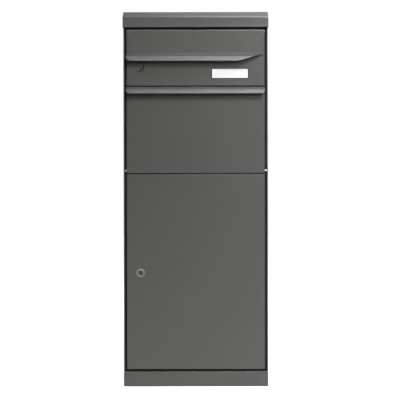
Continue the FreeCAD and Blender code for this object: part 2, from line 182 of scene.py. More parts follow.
def powder(name, base, rough=0.46, light=1.0):
    m, nt, b, tc = new_mat(name)
    v = tc.outputs["Object"]
    big = noise(nt, v, 2.2, 3, 0.55)
    mid = noise(nt, v, 38.0, 4, 0.6)
    grain = noise(nt, v, 1500.0, 2, 0.6)
    peel = noise(nt, v, 420.0, 2, 0.5)
    lo = tuple(c * 0.95 for c in base)
    hi = tuple(c * 1.05 for c in base)
    c1 = mixc(nt, rng(nt, big.outputs[0], 0, 1), lo, hi)
    c2 = mixc(nt, rng(nt, mid.outputs[0], 0.0, 0.35, 0.45, 0.75), c1, tuple(c * 1.04 for c in base))
    speck = rng(nt, grain.outputs[0], 0.0, 0.16, 0.55, 0.75)
    c3 = mixc(nt, speck, c2, tuple(min(1, c * 1.5) for c in base))
    # coating lighter along the bends and cut edges (concave ones too), broken up by noise: partly a worn thinner coat,
    # partly a painted edge highlight
    em = edge_mask(nt, 0.0011)
    wn = noise(nt, v, 95.0, 4, 0.65)
    edge_wear_and_painted_highlight = mth(nt, "MULTIPLY", rng(nt, em, 0.0, 1.0, 0.02, 0.30), rng(nt, wn.outputs[0], 0.03, 0.22, 0.42, 0.70))
    c4 = mixc(nt, edge_wear_and_painted_highlight, c3, tuple(min(1, c * 2.0 + 0.02) for c in base))
    nt.links.new(c4, b.inputs["Base Color"])
    r1 = rng(nt, mid.outputs[0], rough - 0.03, rough + 0.05)
    r2 = mth(nt, "SUBTRACT", r1, mth(nt, "MULTIPLY", edge_wear_and_painted_highlight, 0.10))
    nt.links.new(r2, b.inputs["Roughness"])
    b.inputs["Specular IOR Level"].default_value = 0.5
    bump(nt, b, [(peel.outputs[0], 0.30, 0.00016), (grain.outputs[0], 0.22, 0.00007)])
    return m


def dark_paint():
    # painted shade: near-black paint on the jambs and the parts seen only through the gaps, standing in for the shade
    # in the door gaps and recesses
    m, nt, b, tc = new_mat("painted_shade_black_paint")
    v = tc.outputs["Object"]
    n = noise(nt, v, 60, 4)
    g = noise(nt, v, 1300, 2)
    nt.links.new(mixc(nt, rng(nt, n.outputs[0], 0, 1), (0.008, 0.0085, 0.009), (0.013, 0.0135, 0.014)), b.inputs["Base Color"])
    nt.links.new(rng(nt, n.outputs[0], 0.62, 0.75), b.inputs["Roughness"])
    b.inputs["Specular IOR Level"].default_value = 0.25
    bump(nt, b, [(g.outputs[0], 0.25, 0.0001)])
    return m


def zinc():
    # hot-dip zinc with its crystal spangle
    m, nt, b, tc = new_mat("zinc_coated_steel")
    v = tc.outputs["Object"]
    vor = nt.nodes.new("ShaderNodeTexVoronoi")
    vor.inputs["Scale"].default_value = 105.0
    wob = noise(nt, v, 60, 3)
    add = nt.nodes.new("ShaderNodeVectorMath")
    add.operation = "MULTIPLY_ADD"
    nt.links.new(wob.outputs["Color"], add.inputs[0])
    add.inputs[1].default_value = (0.008, 0.008, 0.008)
    nt.links.new(v, add.inputs[2])
    nt.links.new(add.outputs[0], vor.inputs["Vector"])
    hsv = nt.nodes.new("ShaderNodeSeparateColor")
    nt.links.new(vor.outputs["Color"], hsv.inputs[0])
    f = hsv.outputs[0]
    stain = noise(nt, v, 7, 4, 0.6)
    c = mixc(nt, f, (0.42, 0.43, 0.44), (0.60, 0.61, 0.62))
    c = mixc(nt, rng(nt, stain.outputs[0], 0.0, 0.35, 0.5, 0.8), c, (0.36, 0.36, 0.35))
    nt.links.new(c, b.inputs["Base Color"])
    b.inputs["Metallic"].default_value = 1.0
    nt.links.new(rng(nt, f, 0.36, 0.56, 0.0, 1.0), b.inputs["Roughness"])
    fine = noise(nt, v, 900, 2)
    bump(nt, b, [(fine.outputs[0], 0.12, 0.00008), (f, 0.06, 0.0001)])
    return m


def metal(name, base, rough, streak=(1, 1, 1), scale=500.0, wear=0.12):
    m, nt, b, tc = new_mat(name)
    v = tc.outputs["Object"]
    s = noise(nt, v, scale, 4, 0.6, stretch=streak)
    d = noise(nt, v, 160, 4, 0.6)
    c = mixc(nt, rng(nt, d.outputs[0], 0, 1), tuple(x * 0.80 for x in base), tuple(min(1, x * 1.08) for x in base))
    em = edge_mask(nt, 0.0005)
    c = mixc(nt, mth(nt, "MULTIPLY", rng(nt, em, 0, 1, 0.02, 0.3), wear * 4), c, tuple(min(1, x * 1.35) for x in base))
    nt.links.new(c, b.inputs["Base Color"])
    b.inputs["Metallic"].default_value = 1.0
    nt.links.new(rng(nt, s.outputs[0], rough - 0.07, rough + 0.10), b.inputs["Roughness"])
    bump(nt, b, [(s.outputs[0], 0.15, 0.00006)])
    return m


def rubber():
    m, nt, b, tc = new_mat("black_rubber")
    v = tc.outputs["Object"]
    n = noise(nt, v, 300, 4)
    nt.links.new(mixc(nt, rng(nt, n.outputs[0], 0, 1), (0.012, 0.012, 0.012), (0.03, 0.03, 0.03)), b.inputs["Base Color"])
    nt.links.new(rng(nt, n.outputs[0], 0.65, 0.85), b.inputs["Roughness"])
    bump(nt, b, [(n.outputs[0], 0.3, 0.0001)])
    return m


def plastic(name, base, rough, bumpy=0.1, painted_glow=0.0):
    m, nt, b, tc = new_mat(name)
    v = tc.outputs["Object"]
    n = noise(nt, v, 45, 4)
    g = noise(nt, v, 1100, 2)
    nt.links.new(mixc(nt, rng(nt, n.outputs[0], 0, 1), tuple(x * 0.985 for x in base), base), b.inputs["Base Color"])
    nt.links.new(rng(nt, n.outputs[0], rough - 0.04, rough + 0.06), b.inputs["Roughness"])
    bump(nt, b, [(g.outputs[0], bumpy, 0.00005)])
    # painted light: a faint self-glow brightens the plastic beyond what the lamps give
    if painted_glow:
        b.inputs["Emission Color"].default_value = (1, 1, 1, 1)
        b.inputs["Emission Strength"].default_value = painted_glow
    return m


def acrylic():
    m, nt, b, tc = new_mat("clear_acrylic")
    v = tc.outputs["Object"]
    n = noise(nt, v, 900, 3, 0.6, stretch=(0.15, 1, 1))
    d = noise(nt, v, 60, 3)
    nt.links.new(mixc(nt, rng(nt, d.outputs[0], 0, 1), (0.93, 0.94, 0.94), (1.0, 1.0, 1.0)), b.inputs["Base Color"])
    b.inputs["Alpha"].default_value = 0.07
    b.inputs["IOR"].default_value = 1.45
    nt.links.new(rng(nt, n.outputs[0], 0.05, 0.12), b.inputs["Roughness"])
    bump(nt, b, [(n.outputs[0], 0.02, 0.000004)])
    return m


COAT = (0.0735, 0.0761, 0.0713)
M = {
    "powder_coat": powder("anthracite_powder_coat", COAT, 0.33),
    "dark_paint": dark_paint(),
    "zinc_steel": zinc(),
    "bright_steel": metal("turned_steel", (0.40, 0.395, 0.385), 0.34, (1, 1, 1), 700.0),
    "lock_metal": metal("nickel_lock", (0.225, 0.204, 0.188), 0.36, (1, 0.2, 1), 900.0, 0.2),
    "rubber": rubber(),
    # the name plate plastic and card carry a painted glow
    "white_plastic": plastic("white_plastic", (0.955, 0.965, 0.965), 0.32, painted_glow=0.08),
    "card": plastic("blank_card", (0.965, 0.975, 0.975), 0.70, 0.2, painted_glow=0.10),
    "clear_plastic": acrylic(),
}
# parcel lock plug face darkened as painted shade, standing in for the dark keyway
PAINTED_SHADE_PLUG = metal("lock_plug_painted_shade", (0.080, 0.070, 0.062), 0.38, (1, 0.2, 1), 900.0, 0.2)

SLOT = {s["node"]: s["material_slot"] for s in frame["record"]["subparts"]}
for name, ob in frame["nodes"].items():
    ob.data.materials.clear()
    ob.data.materials.append(M[SLOT[name]])


# =============================================================== mesh helpers (millimetres)
def obj(bm, name, mat, body, replaces=(), bevel=0.3, segs=2, sharp=32.0):
    bmesh.ops.remove_doubles(bm, verts=bm.verts, dist=1e-5)
    bmesh.ops.recalc_face_normals(bm, faces=bm.faces)
    me = bpy.data.meshes.new(name)
    for v in bm.verts:
        v.co = v.co * MM
    bm.to_mesh(me)
    bm.free()
    ob = bpy.data.objects.new(name, me)
    COL.objects.link(ob)
    return finish_obj(ob, mat, body, replaces, bevel, segs, sharp)


def finish_obj(ob, mat, body, replaces=(), bevel=0.3, segs=2, sharp=32.0):
    me = ob.data
    me.materials.clear()
    me.materials.append(mat)
    shade(me, sharp)
    if bevel:
        m = ob.modifiers.new("edge", "BEVEL")
        m.width = bevel * MM
        m.segments = segs
        m.limit_method = "ANGLE"
        m.angle_limit = math.radians(40)
        m.harden_normals = False
        bake(ob)
        shade(ob.data, sharp)
    wn = ob.modifiers.new("normals", "WEIGHTED_NORMAL")
    wn.mode = "FACE_AREA"
    wn.weight = 100
    wn.keep_sharp = True
    bake(ob)
    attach(ob, body)
    if replaces:
        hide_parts(*replaces)
    return ob


def shade(me, sharp):
    bm = bmesh.new()
    bm.from_mesh(me)
    lim = math.radians(sharp)
    for f in bm.faces:
        f.smooth = True
    for e in bm.edges:
        e.smooth = not (len(e.link_faces) == 2 and e.calc_face_angle(0) > lim)
    bm.to_mesh(me)
    bm.free()


def bake(ob):
    # apply the modifiers, keeping the object
    dg = bpy.context.evaluated_depsgraph_get()
    dg.update()
    me = bpy.data.meshes.new_from_object(ob.evaluated_get(dg))
    ob.modifiers.clear()
    old = ob.data
    ob.data = me
    bpy.data.meshes.remove(old)


def raw(bm, name):
    bmesh.ops.remove_doubles(bm, verts=bm.verts, dist=1e-5)
    bmesh.ops.recalc_face_normals(bm, faces=bm.faces)
    for v in bm.verts:
        v.co = v.co * MM
    me = bpy.data.meshes.new(name)
    bm.to_mesh(me)
    bm.free()
    ob = bpy.data.objects.new(name, me)
    COL.objects.link(ob)
    return ob


def cut(ob, cutters, op="DIFFERENCE"):
    for c in cutters:
        m = ob.modifiers.new("cut", "BOOLEAN")
        m.operation = op
        m.solver = "EXACT"
        m.object = c
    bpy.context.view_layer.update()
    bake(ob)
    for c in cutters:
        me = c.data
        bpy.data.objects.remove(c)
        bpy.data.meshes.remove(me)
    bm = bmesh.new()
    bm.from_mesh(ob.data)
    bmesh.ops.remove_doubles(bm, verts=bm.verts, dist=2e-6)
    bmesh.ops.dissolve_limit(bm, angle_limit=math.radians(0.5), verts=bm.verts, edges=bm.edges)
    bm.to_mesh(ob.data)
    bm.free()
    return ob


def b_box(x0, x1, y0, y1, z0, z1, bm=None):
    bm = bm or bmesh.new()
    vs = [bm.verts.new((x, y, z)) for x in (x0, x1) for y in (y0, y1) for z in (z0, z1)]
    for q in ((0, 1, 3, 2), (4, 6, 7, 5), (0, 4, 5, 1), (2, 3, 7, 6), (0, 2, 6, 4), (1, 5, 7, 3)):
        bm.faces.new([vs[i] for i in q])
    return bm


def prism(pts, axis, a0, a1, bm=None, n=1):
    # closed outline extruded along an axis: "x" takes (y, z), "y" takes (x, z), "z" takes (x, y)
    bm = bm or bmesh.new()

    def P(p, a):
        return {"x": (a, p[0], p[1]), "y": (p[0], a, p[1]), "z": (p[0], p[1], a)}[axis]
    rows = []
    for k in range(n + 1):
        a = a0 + (a1 - a0) * k / n
        rows.append([bm.verts.new(P(p, a)) for p in pts])
    for k in range(n):
        for i in range(len(pts)):
            j = (i + 1) % len(pts)
            bm.faces.new((rows[k][i], rows[k][j], rows[k + 1][j], rows[k + 1][i]))
    bm.faces.new(rows[0][::-1])
    bm.faces.new(rows[-1])
    return bm


def strip(path, t, segs=7):
    # sheet outline of thickness t about a mid-line with rounded corners: path is (a, b, radius)
    mid = []
    for i, p in enumerate(path):
        if i == 0 or i == len(path) - 1:
            j = 0 if i == 0 else len(path) - 2
            d = Vector((path[j + 1][0] - path[j][0], path[j + 1][1] - path[j][1])).normalized()
            mid.append((Vector(p[:2]), Vector((-d.y, d.x))))
            continue
        r = p[2]
        a = Vector((p[0] - path[i - 1][0], p[1] - path[i - 1][1]))
        b = Vector((path[i + 1][0] - p[0], path[i + 1][1] - p[1]))
        u1, u2 = a.normalized(), b.normalized()
        ang = math.atan2(u1.x * u2.y - u1.y * u2.x, u1.dot(u2))
        sg = 1 if ang > 0 else -1
        s = Vector(p[:2]) - u1 * (r * math.tan(abs(ang) / 2))
        n1 = Vector((-u1.y, u1.x))
        c = s + n1 * (sg * r)
        k = max(3, int(segs * abs(ang) / (math.pi / 2)) + 1)
        for q in range(k + 1):
            th = ang * q / k
            v = s - c
            w = Vector((v.x * math.cos(th) - v.y * math.sin(th), v.x * math.sin(th) + v.y * math.cos(th)))
            nn = Vector((n1.x * math.cos(th) - n1.y * math.sin(th), n1.x * math.sin(th) + n1.y * math.cos(th)))
            mid.append((c + w, nn))
    left = [m + n * (t / 2) for m, n in mid]
    right = [m - n * (t / 2) for m, n in mid]
    return [tuple(v) for v in left] + [tuple(v) for v in reversed(right)]


def pan(x0, x1, y0, y1, z0, z1, t, r, segs=6, open_top=False):
    # folded tray, open at the rear: rings of four corners following the bend profile
    bm = bmesh.new()
    prof = [(0.0, y1), (0.0, y0 + r + 0.6), (0.0, y0 + r)]
    for k in range(1, segs + 1):
        a = math.pi / 2 * k / segs
        prof.append((r - r * math.cos(a), y0 + r - r * math.sin(a)))
    prof.append((r + 0.7, y0))
    ri = max(r - t, 0.25)
    inn = [(t, y1), (t, y0 + t + ri)]
    for k in range(1, 4):
        a = math.pi / 2 * k / 3
        inn.append((t + ri - ri * math.cos(a), y0 + t + ri - ri * math.sin(a)))

    def ring(i, y):
        return [bm.verts.new(p) for p in ((x0 + i, y, z0 + i), (x1 - i, y, z0 + i), (x1 - i, y, z1 - i), (x0 + i, y, z1 - i))]
    R = [ring(*p) for p in prof]
    S = [ring(*p) for p in inn]
    for seq in (R, S):
        for a, b in zip(seq, seq[1:]):
            for i in range(4):
                j = (i + 1) % 4
                bm.faces.new((a[i], a[j], b[j], b[i]))
        bm.faces.new(seq[-1])
    for i in range(4):
        j = (i + 1) % 4
        bm.faces.new((R[0][i], R[0][j], S[0][j], S[0][i]))
    return bm


def lathe(prof, cx, cz, segs=64, bm=None):
    # (radius, y) profile turned about the Y axis through (cx, cz); closed when it ends on radius 0 or where it began
    bm = bm or bmesh.new()
    rings = []
    for r, y in prof:
        if r < 1e-6:
            rings.append([bm.verts.new((cx, y, cz))])
        else:
            rings.append([bm.verts.new((cx + r * math.cos(2 * math.pi * k / segs), y, cz + r * math.sin(2 * math.pi * k / segs)))
                          for k in range(segs)])
    for a, b in zip(rings, rings[1:]):
        for k in range(segs):
            j = (k + 1) % segs
            if len(a) == 1 and len(b) == 1:
                continue
            if len(a) == 1:
                bm.faces.new((a[0], b[j], b[k]))
            elif len(b) == 1:
                bm.faces.new((a[k], a[j], b[0]))
            else:
                bm.faces.new((a[k], a[j], b[j], b[k]))
    return bm


# =============================================================== carcass
T = 1.5
(rx0, ry0, rz0), (rx1, ry1, rz1) = bx("roof_cap")
(sx0, sy0, sz0), (sx1, sy1, sz1) = bx("right_side_panel")
(px0, py0, pz0), (px1, py1, pz1) = bx("plinth_front")
YH, YB, XB = sy0, sy1, sx1
YJ = bx("left_jamb")[0][1]
H = rz1
Z_PL = pz1
PC = M["powder_coat"]

for s, nm in ((-1, "left"), (1, "right")):
    o = strip([(s * (XB - 0.7), YB, 0), (s * (XB - 0.7), YH + 0.7, 0.45), (s * (XB - 2.25), YH + 0.7, 0.45), (s * (XB - 2.25), YJ, 0)], 1.4, 8)
    bm = prism(o, "z", Z_PL, sz1, n=1)
    low = [(s * XB, YH + 0.02), (s * XB, YB), (s * (XB - 1.4), YB), (s * (XB - 1.4), YH + 0.02)]
    bm = prism(low, "z", 0.0, Z_PL - 0.02, bm=bm)
    ob = raw(bm, nm + "_side_panel_sheet")
    holes = []
    for y in (-100.0, 120.0):
        c = lathe([(0, -3), (2.15, -3), (2.15, 3), (0, 3)], 0, 0, 24)
        for v in c.verts:
            v.co = Vector((s * (XB - 0.7) + v.co.y, y + v.co.x, 1000.0 + v.co.z))
        holes.append(raw(c, "cutter"))
    cut(ob, holes)
    finish_obj(ob, PC, "cabinet", [nm + "_side_panel"], bevel=0.25)

# roof cap: front skirt with a turned lower edge, rounded bend, sloping strip, top falling to the rear, side skirts
YR0, YR1, ZR0 = ry0, ry1, rz0 - 0.8
RB = 9.0


def roof_outline(o):
    # o is the inward offset
    zk = 1015.2
    pts = []
    base = [(YR0 + 0.5 + o, ZR0), (YR0 + 0.5 + o, ZR0 + 0.4), (YR0 + o, ZR0 + 1.6), (YR0 + o, ZR0 + 2.6), (YR0 + 0.5 + o, ZR0 + 4.4)]
    r = RB - o
    a0, a1 = 0.0, math.radians(45)
    # bend between the vertical face and the strip, then the strip and the top
    y_v = YR0 + 0.5 + o
    d = Vector((10.0, H - zk)).normalized()
    corner = Vector((YR0 + 0.5, zk))
    th = math.atan2(d.x, d.y)
    tl = RB * math.tan(th / 2)
    c = Vector((corner.x + RB, corner.y - tl))
    arc = []
    for k in range(9):
        a = math.pi - th * k / 8
        arc.append((c.x + r * math.cos(a), c.y + r * math.sin(a)))
    top = Vector((YR0 + 0.5 + 10.0, H))
    top.y = H
    nrm = Vector((-d.y, d.x))
    e = top - nrm * o - Vector((0, o * 0.35))
    r2 = 2.0
    arc2 = []
    a_s = math.pi - th
    a_e = math.radians(91.3)
    d2 = Vector((math.sin(math.radians(1.3)), 0))
    c2 = Vector((top.x + r2 * math.tan((a_s - a_e) / 2) * 0.9, H - r2 - 0.02))
    for k in range(5):
        a = a_s + (a_e - a_s) * k / 4
        arc2.append((c2.x + (r2 - o) * math.cos(a), c2.y + (r2 - o) * math.sin(a)))
    rear = [(YR1, H - 7.0 - o)]
    return base, arc + arc2 + rear


bo, to = roof_outline(0)
bi, ti = roof_outline(T)
bm = bmesh.new()
XR = rx1
# cross-sections along X: the outer skin is pulled in slightly above the bend, at both ends
outer = bo + to
inner = [(y, z) for y, z in (bi[:1] + [(bi[-1][0], bi[-1][1])] + ti)]


def side_x(z, inset):
    k = max(0.0, min(1.0, (z - 1013.0) / 16.0))
    return XR - inset - 1.5 * k * k


def skin(outline, inset, bm):
    rows = []
    xs_n = 1
    for s in (-1, 1):
        rows.append([bm.verts.new((s * side_x(z, inset), y, z)) for y, z in outline])
    for i in range(len(outline) - 1):
        bm.faces.new((rows[0][i], rows[0][i + 1], rows[1][i + 1], rows[1][i]))
    return rows


ro = skin(outer, 0.0, bm)
ri = skin(inner, T, bm)


def skirt(row_o, row_i, s, bm):
    # side skirt: outer face and inner face down to the lower edge
    rear_o = bm.verts.new((s * XR, YR1, ZR0))
    rear_i = bm.verts.new((s * (XR - T), YR1, ZR0))
    mid_o = bm.verts.new((s * XR, YR1, 1008.0))
    mid_i = bm.verts.new((s * (XR - T), YR1, 1008.0))
    fo = list(row_o) + [mid_o, rear_o]
    fi = list(row_i) + [mid_i, rear_i]
    bm.faces.new(fo if s > 0 else fo[::-1])
    bm.faces.new(fi[::-1] if s > 0 else fi)
    bm.faces.new((row_o[0], rear_o, rear_i, row_i[0]))
    bm.faces.new((rear_o, mid_o, mid_i, rear_i))
    bm.faces.new((mid_o, row_o[-1], row_i[-1], mid_i))


skirt(ro[0], ri[0], -1, bm)
skirt(ro[1], ri[1], 1, bm)
bm.faces.new((ro[0][0], ro[1][0], ri[1][0], ri[0][0]))
bm.faces.new((ro[0][-1], ro[1][-1], ri[1][-1], ri[0][-1]))
bmesh.ops.triangulate(bm, faces=[f for f in bm.faces if len(f.verts) > 4])
ob = raw(bm, "roof_cap_sheet")
holes = []
for s in (-1, 1):
    for y in (-100.0, 120.0):
        c = lathe([(0, -3), (2.15, -3), (2.15, 3), (0, 3)], 0, 0, 24)
        for v in c.verts:
            v.co = Vector((s * (XR - 0.7) + v.co.y, y + v.co.x, 1000.0 + v.co.z))
        holes.append(raw(c, "cutter"))
cut(ob, holes)
finish_obj(ob, PC, "cabinet", ["roof_cap"], bevel=0.5, segs=3)

# plinth: front strip with rounded top and bottom bends and short returns, mitred at the corners
bm = pan(px0, px1, py0, YH - 0.05, 0.0, Z_PL, T, 1.6)
ret = strip([(YH - 3.0, Z_PL - 0.75, 0), (YJ - 0.02, Z_PL - 0.75, 0)], T)
bm = prism([(YH - 0.06, Z_PL - T), (YH - 0.06, Z_PL), (YJ - 0.02, Z_PL), (YJ - 0.02, Z_PL - T)], "x", px0 + 1.6, px1 - 1.6, bm=bm)
obj(bm, "plinth_front_sheet", PC, "cabinet", ["plinth_front"], bevel=0.3)

# parcel compartment floor: plate with a front downturn and four access holes, in near-black paint that stands in for
# the shade seen in the gap under the door
(fl0, fl1) = bx("parcel_floor")
o = [(YJ, Z_PL), (YJ + T, Z_PL), (YJ + T, fl1[2] - T), (fl1[1], fl1[2] - T), (fl1[1], fl1[2]), (YJ + 0.7, fl1[2]), (YJ + 0.2, fl1[2] - 0.2),
     (YJ, fl1[2] - 0.7)]
bm = prism(o, "x", fl0[0], fl1[0])
ob = raw(bm, "parcel_floor_sheet")
(ap0, ap1) = bx("anchor_hole_plugs")
holes = []
for x in (ap0[0] + 16, ap1[0] - 16):
    for y in (ap0[1] + 16, ap1[1] - 16):
        c = lathe([(0, -8), (13, -8), (13, 8), (0, 8)], 0, 0, 48)
        for v in c.verts:
            v.co = Vector((x + v.co.x, y + v.co.z, fl1[2] - 0.7 + v.co.y))
        holes.append(raw(c, "cutter"))
cut(ob, holes)
finish_obj(ob, M["dark_paint"], "cabinet", ["parcel_floor"], bevel=0.12)


# =============================================================== doors
def door(name, node, body, z0, z1, cutters, t=T, r=1.6):
    (x0, y0, _), (x1, y1, _) = bx(node)
    ob = raw(pan(x0, x1, y0, y1, z0, z1, t, r), name)
    cut(ob, cutters)
    return finish_obj(ob, PC, body, [node], bevel=0.28)


def cbox(*a):
    return raw(b_box(*a), "cutter")


def ccyl(r, x, z, y0, y1, segs=64):
    return raw(lathe([(0, y0), (r, y0), (r, y1), (0, y1)], x, z, segs), "cutter")


YD = bx("parcel_door_panel")[0][1]
XD = bx("parcel_door_panel")[1][0]
LX, LZL, LZP = -152.0, 877.0, 313.0


def notches(node):
    out = []
    lo, hi = bx(node)
    for z in (lo[2] + 12.0, hi[2] - 12.0):
        out.append(cbox(XD - T - 0.3, XD + 2, YD + T, YD + 14, z - 2.6, z + 2.6))
    return out


# parcel door
lo, hi = bx("parcel_door_panel")
door("parcel_door_sheet", "parcel_door_panel", "parcel_door", lo[2], hi[2],
     [ccyl(9.6, LX, LZP, YD - 3, YD + 4)] + notches("parcel_hinge_brackets"))

# hatch panel
lo, hi = bx("hatch_panel")
(hx0, hy0, hz0), (hx1, hy1, hz1) = bx("hatch_pivot_pins")
HY, HZ = (hy0 + hy1) / 2, (hz0 + hz1) / 2
pin_cut = []
for s in (-1, 1):
    c = lathe([(0, -4), (2.55, -4), (2.55, 4), (0, 4)], 0, 0, 32)
    for v in c.verts:
        v.co = Vector((s * 189.0 + v.co.y, HY + v.co.x, HZ + v.co.z))
    pin_cut.append(raw(c, "cutter"))
# the rear lower corners are cut back about the pivot, clear of the jambs
rear = [(HY + 4.7 * math.cos(a), HZ + 4.7 * math.sin(a)) for a in [math.radians(-92 + 92 * k / 12) for k in range(13)]]
rear += [(HY + 9, HZ), (HY + 9, HZ - 12), (HY - 0.16, HZ - 12)]
swing = [raw(prism(rear, "x", -200, 200), "cutter")]
door("hatch_sheet", "hatch_panel", "parcel_hatch", lo[2] - 0.7, hi[2],
     pin_cut + swing + [cbox(-XD + T, XD - T, HY + 0.5, HY + 20, lo[2] - 3, lo[2] + T + 0.05)])

# letter door: front sheet below, returns beside the slot
NX0, NX1, NZ0, NZ1 = 45.5, 145.3, 848.4, 873.6
lo, hi = bx("letter_door_panel")
(x0, y0, _), (x1, y1, _) = lo, hi
ob = raw(pan(x0, x1, y0, y1, lo[2] - 1.4, hi[2] + 20, T, 1.6), "letter_door_sheet")
cut(ob, [cbox(-300, 300, YD - 5, YD + 30, hi[2], hi[2] + 60), cbox(-185.0, 185.0, YD - 5, YD + T + 0.02, 914.3, hi[2] + 20),
         ccyl(9.6, LX, LZL, YD - 3, YD + 4), cbox(NX0 - 0.9, NX1 + 0.9, YD - 5, YD + 5, NZ0 - 0.9, NZ1 + 0.9)] + notches("letter_hinge_brackets"))
finish_obj(ob, PC, "letter_door", ["letter_door_panel"], bevel=0.3)

# =============================================================== letter flap
(fx0, fy0, fz0), (fx1, fy1, fz1) = bx("letter_flap")
FY, FZ, FR, TF = -149.5, 977.3, 5.5, 1.2
yc = YD + TF / 2
rm = FR - TF / 2
arc = []
# rolled top edge, then face, and the lip bent out and then down
prof_mid = []
for k in range(11):
    a = math.radians(58 + (180 - 58) * k / 10)
    prof_mid.append((FY + rm * math.cos(a), FZ + rm * math.sin(a), (math.cos(a), math.sin(a))))
LIPY = fy0 + 5.6
tail = strip([(yc, FZ - 1.5, 0), (yc, 916.2, 2.0), (LIPY, 905.4, 2.2), (fy0 + 0.55, 892.8, 0)], TF, 8)
half = len(tail) // 2
sideA, sideB = tail[:half], tail[half:]
# which half lies in front (smaller y)
front, backs = (sideA, sideB[::-1]) if sideA[0][0] < sideB[-1][0] else (sideB[::-1], sideA)
outer_pts = [(FY + FR * c, FZ + FR * s) for _, _, (c, s) in prof_mid]
inner_pts = [(FY + (FR - TF) * c, FZ + (FR - TF) * s) for _, _, (c, s) in prof_mid]
outline = outer_pts + list(front) + list(reversed(backs)) + list(reversed(inner_pts))
ob = raw(prism(outline, "x", -190.4, 184.6), "letter_flap_sheet")
cutters = [cbox(-220, -184.6, -200, -100, 914.4, 1000),
           raw(prism([(-190.5, 905.2), (-193, 905.2), (-193, 880), (-183.9, 880), (-183.9, 892.4)], "y", -195, -140), "cutter"),
           raw(prism([(116.0, 891.6), (121.5, 893.9), (131.0, 897.0), (186.0, 913.8), (200, 914.1), (200, 880), (116.0, 880)], "y", -195, YD - 0.4), "cutter")]
cut(ob, cutters)
fl = finish_obj(ob, PC, "flap", [], bevel=0.32, segs=3)
# knuckle discs under the rolled edge, bored for the rod
bm = bmesh.new()
for x0, x1 in ((-184.5, -182.6), (-1.0, 1.0), (182.6, 184.5)):
    n = 32
    for rr in (1,):
        pts_o = [(FY + (FR - TF + 0.15) * math.cos(2 * math.pi * k / n), FZ + (FR - TF + 0.15) * math.sin(2 * math.pi * k / n)) for k in range(n)]
        pts_i = [(FY + 2.06 * math.cos(2 * math.pi * k / n), FZ + 2.06 * math.sin(2 * math.pi * k / n)) for k in range(n)]
        vo = [[bm.verts.new((x, y, z)) for y, z in pts_o] for x in (x0, x1)]
        vi = [[bm.verts.new((x, y, z)) for y, z in pts_i] for x in (x0, x1)]
        for k in range(n):
            j = (k + 1) % n
            bm.faces.new((vo[0][k], vo[0][j], vo[1][j], vo[1][k]))
            bm.faces.new((vi[0][k], vi[1][k], vi[1][j], vi[0][j]))
            bm.faces.new((vo[0][k], vi[0][k], vi[0][j], vo[0][j]))
            bm.faces.new((vo[1][k], vo[1][j], vi[1][j], vi[1][k]))
obj(bm, "flap_knuckles", PC, "flap", [], bevel=0.2)
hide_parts("letter_flap")

# =============================================================== hatch lip
(hx0, hy0, hz0), (hx1, hy1, hz1) = bx("hatch_lip")
o = strip([(YD + 7.0, hz1 - 0.75, 0), (YD - 1.0, hz1 - 0.75, 1.5), (LIPY, 814.8, 2.6), (hy0 + 0.75, 803.8, 0)], T, 8)
ob = raw(prism(o, "x", -190.4, 190.4), "hatch_lip_sheet")
cut(ob, [cbox(-220, -XD, YD - 0.4, -100, 800, 900), cbox(XD, 220, YD - 0.4, -100, 800, 900),
         raw(prism([(-190.6, 814.2), (-193, 814.2), (-193, 795), (-185.4, 795), (-185.4, 803.0)], "y", -195, YD - 0.5), "cutter"),
         raw(prism([(190.6, 814.6), (193, 814.6), (193, 795), (182.6, 795), (182.6, 803.0)], "y", -195, YD - 0.5), "cutter")])
finish_obj(ob, PC, "parcel_hatch", ["hatch_lip"], bevel=0.34, segs=3)

# =============================================================== locks
def lock(prefix, z, body, pbody, slot_deg, tone, core):
    # face ring with a rounded rim and a shallow dish, threaded barrel, bored for the plug
    y0 = YD - 2.2
    prof = [(6.55, y0 + 1.0), (6.7, y0 + 0.55), (7.3, y0 + 0.45), (9.6, y0 + 0.12), (10.4, y0), (11.1, y0 + 0.06), (11.6, y0 + 0.35),
            (11.93, y0 + 0.8), (12.0, y0 + 1.3), (12.0, YD)]
    prof += [(9.5, YD), (9.5, YD + 1.6)]
    y = YD + 1.6
    while y < -140.6:
        prof += [(9.5, y), (9.05, y + 0.5)]
        y += 1.0
    prof += [(9.4, -139.6), (6.55, -139.6), (6.55, y0 + 1.0)]
    obj(lathe(prof, LX, z, 72), prefix + "_lock_face", tone, body, [prefix + "_lock_body"], bevel=0)
    # plug: domed face with the keyway cut in it
    yp = YD - 2.0
    pr = [(0, yp + 0.05), (3.0, yp + 0.04), (5.2, yp), (6.1, yp + 0.12), (6.45, yp + 0.55), (6.5, yp + 1.0), (6.5, -139.0), (0, -139.0)]
    ob = raw(lathe(pr, LX, z, 64), prefix + "_lock_core")
    # one L-shaped keyway
    way = [(-1.05, -4.7), (1.05, -4.7), (1.05, 4.7), (-1.05, 4.7), (-1.05, -0.6), (-2.4, -0.6), (-2.4, -3.6), (-1.05, -3.6)]
    ko = raw(prism(way, "y", yp - 2, yp + 8), "cutter")
    ko.data.transform(Matrix.Rotation(math.radians(slot_deg), 4, "Y"))
    ko.data.transform(Matrix.Translation((LX * MM, 0, z * MM)))
    cut(ob, [ko])
    sq = b_box(LX - 3.15, LX + 3.15, -139.0, -136.25, z - 3.15, z + 3.15)
    finish_obj(ob, core, pbody, [prefix + "_lock_plug"], bevel=0.15, segs=2)
    obj(sq, prefix + "_lock_square", core, pbody, [], bevel=0.2)


DARKLOCK = metal("dark_nickel_lock", (0.05, 0.05, 0.047), 0.36, (1, 0.2, 1), 900.0, 0.25)
# letter lock plug face darkened as painted shade, standing in for the dark keyway
PAINTED_SHADE_CORE = metal("letter_lock_core_painted_shade", (0.105, 0.102, 0.096), 0.36, (1, 0.2, 1), 900.0, 0.25)
lock("letter", LZL, "letter_door", "letter_lock", 0.0, DARKLOCK, PAINTED_SHADE_CORE)
lock("parcel", LZP, "parcel_door", "parcel_lock", -42.0, M["lock_metal"], PAINTED_SHADE_PLUG)

